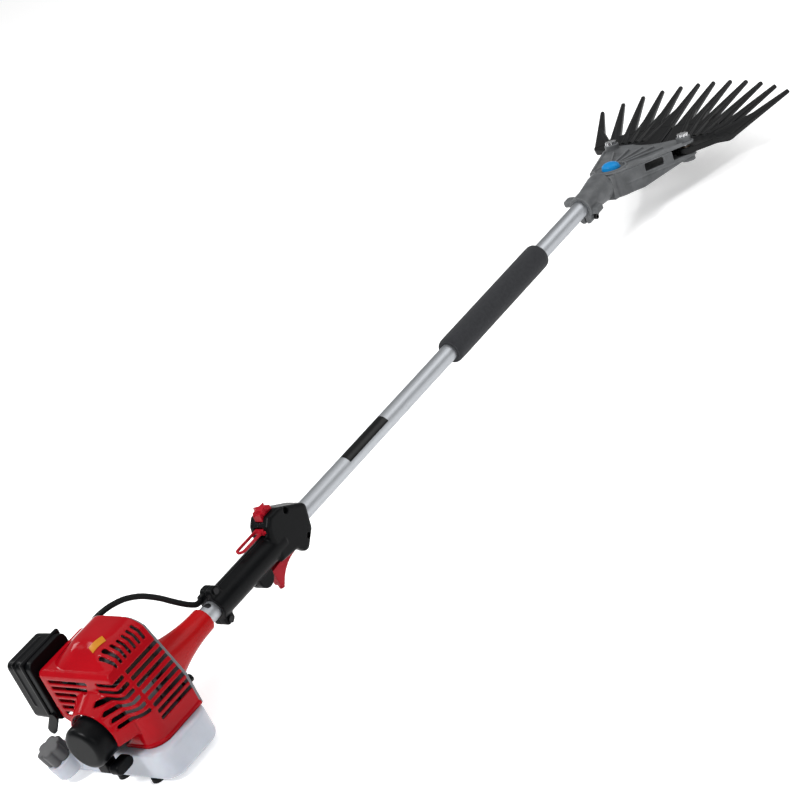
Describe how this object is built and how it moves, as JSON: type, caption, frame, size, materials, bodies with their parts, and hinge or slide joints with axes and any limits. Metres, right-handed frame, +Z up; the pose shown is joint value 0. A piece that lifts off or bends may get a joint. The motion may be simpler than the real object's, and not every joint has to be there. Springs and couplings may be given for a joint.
{
  "type": "coffee harvester",
  "caption": "Hand-held coffee harvester: a small petrol engine drives, through a long pole with throttle handle and foam grip, a pitched gear head with two swinging combs of long fingers.",
  "frame": {"origin": "on the resting plane of the tank feet, under the middle of the bounding box", "axes": "+X along the pole from the engine towards the combs, +Y to the operator's left, +Z up"},
  "size_m": [1.6705, 0.3736, 0.188],
  "materials": {
    "gloss_red_plastic": "injection-moulded gloss red",
    "red_paint": "red powder coat on cast aluminium",
    "black_plastic": "moulded black plastic with a fine grain",
    "comb_plastic": "black moulded plastic, slightly satin",
    "red_plastic": "moulded red plastic",
    "blue_plastic": "moulded blue plastic",
    "white_tank": "translucent white blow-moulded plastic",
    "grey_housing": "dark grey painted aluminium casting",
    "grey_plate": "grey painted pressed sheet",
    "anodised_tube": "drawn aluminium tube, bright satin",
    "cast_aluminium": "as-cast aluminium",
    "steel": "machined steel",
    "dark_steel": "blackened steel",
    "chrome_steel": "chrome-plated steel",
    "rubber": "black rubber",
    "foam": "closed-cell black foam",
    "filter_foam": "oiled filter foam",
    "bronze": "sintered bronze"
  },
  "bodies": {
    "frame": {"air_cleaner_base": "black_plastic", "air_cleaner_cover": "black_plastic", "air_filter": "filter_foam", "bell_bolts": "dark_steel", "carburettor": "cast_aluminium", "clamp_screw": "dark_steel", "clutch_housing": "red_paint", "crankcase": "cast_aluminium", "cylinder": "cast_aluminium", "drum_bearing": "steel", "engine_cover": "gloss_red_plastic", "foam_grip": "foam", "front_plate": "grey_plate", "fuel_hose": "rubber", "fuel_tank": "white_tank", "gear_bearing": "bronze", "grease_cap": "blue_plastic", "handle_left": "black_plastic", "handle_right": "black_plastic", "handle_screws": "dark_steel", "head_cover": "grey_housing", "head_housing": "grey_housing", "head_neck": "grey_housing", "intake_insulator": "black_plastic", "muffler": "dark_steel", "pinion_bearing": "steel", "pivot_screws": "chrome_steel", "plug_cap": "rubber", "pole_tube": "anodised_tube", "rocker_cover": "cast_aluminium", "shaft_bushes": "bronze", "spark_plug": "steel", "starter_housing": "black_plastic", "tank_feet": "rubber", "throttle_cable": "rubber"},
    "trigger": {"trigger": "red_plastic"},
    "lockout_lever": {"lockout_lever": "red_plastic"},
    "stop_switch": {"stop_switch": "red_plastic"},
    "starter_grip": {"starter_grip": "black_plastic"},
    "fuel_cap": {"fuel_cap": "black_plastic"},
    "oil_cap": {"oil_cap": "black_plastic"},
    "choke_lever": {"choke_lever": "black_plastic"},
    "primer_bulb": {"primer_bulb": "rubber"},
    "engine_crank": {"crankshaft": "steel", "flywheel_fan": "cast_aluminium", "clutch_carrier": "steel", "clutch_shoes": "steel"},
    "driveline": {"clutch_drum": "steel", "drive_shaft": "steel", "pinion": "steel"},
    "crown_gear": {"crown_gear": "steel"},
    "rod_left": {"rod_left": "steel"},
    "rod_right": {"rod_right": "steel"},
    "comb_left": {"comb_left": "comb_plastic", "comb_bush_left": "bronze"},
    "comb_right": {"comb_right": "comb_plastic", "comb_bush_right": "bronze"}
  },
  "joints": [
    {"name": "comb_left_swing", "type": "hinge", "parent": "frame", "child": "comb_left", "pos_m": [0.62984, 0.07, 0.0654], "axis": [0.2036, 0, 0.979], "range_deg": [0, 14]},
    {"name": "comb_right_swing", "type": "hinge", "parent": "frame", "child": "comb_right", "pos_m": [0.62984, -0.07, 0.0654], "axis": [0.2036, 0, 0.979], "range_deg": [-14, 0]},
    {"name": "rod_left_stroke", "type": "slide", "parent": "frame", "child": "rod_left", "axis": [0.979, 0, -0.2036], "range_m": [0, 0.0075]},
    {"name": "rod_right_stroke", "type": "slide", "parent": "frame", "child": "rod_right", "axis": [0.979, 0, -0.2036], "range_m": [0, 0.0075]},
    {"name": "driveline_spin", "type": "hinge", "parent": "frame", "child": "driveline", "pos_m": [-0.57883, 0, 0.088], "axis": [1, 0, 0], "continuous": true},
    {"name": "crown_gear_spin", "type": "hinge", "parent": "frame", "child": "crown_gear", "pos_m": [0.52117, 0, 0.088], "axis": [0.2036, 0, 0.979], "continuous": true},
    {"name": "engine_spin", "type": "hinge", "parent": "frame", "child": "engine_crank", "pos_m": [-0.72083, 0, 0.088], "axis": [1, 0, 0], "continuous": true},
    {"name": "trigger_pull", "type": "hinge", "parent": "frame", "child": "trigger", "pos_m": [-0.38883, 0, 0.063], "axis": [0, 1, 0], "range_deg": [0, 9], "stiffness_Nm_per_rad": 0.4, "springref_deg": -11.46},
    {"name": "lockout_press", "type": "hinge", "parent": "frame", "child": "lockout_lever", "pos_m": [-0.42883, 0, 0.115], "axis": [0, 1, 0], "range_deg": [-8, 0], "stiffness_Nm_per_rad": 0.3, "springref_deg": 14.32},
    {"name": "stop_switch_slide", "type": "slide", "parent": "frame", "child": "stop_switch", "axis": [-1, 0, 0], "range_m": [0, 0.005]},
    {"name": "starter_pull", "type": "slide", "parent": "frame", "child": "starter_grip", "axis": [0, -1, 0], "range_m": [0, 0.6], "stiffness_N_per_m": 12},
    {"name": "fuel_cap_turn", "type": "hinge", "parent": "frame", "child": "fuel_cap", "pos_m": [-0.80083, 0.111, 0.038], "axis": [-0.2402, 0.1201, 0.9633], "range_deg": [0, 270]},
    {"name": "oil_cap_turn", "type": "hinge", "parent": "frame", "child": "oil_cap", "pos_m": [-0.69483, -0.056, 0.08], "axis": [1, 0, 0], "range_deg": [0, 270]},
    {"name": "choke_turn", "type": "hinge", "parent": "frame", "child": "choke_lever", "pos_m": [-0.78583, 0.096, 0.093], "axis": [1, 0, 0], "range_deg": [0, 60]},
    {"name": "primer_press", "type": "slide", "parent": "frame", "child": "primer_bulb", "axis": [-1, 0, 0], "range_m": [0, 0.004], "stiffness_N_per_m": 400}
  ],
  "couplings": [
    {"joint": "comb_right_swing", "follows": "comb_left_swing", "ratio": -1},
    {"joint": "rod_left_stroke", "follows": "comb_left_swing", "m_per_rad": 0.03},
    {"joint": "rod_right_stroke", "follows": "comb_left_swing", "m_per_rad": 0.03},
    {"joint": "crown_gear_spin", "follows": "driveline_spin", "ratio": -0.25}
  ]
}
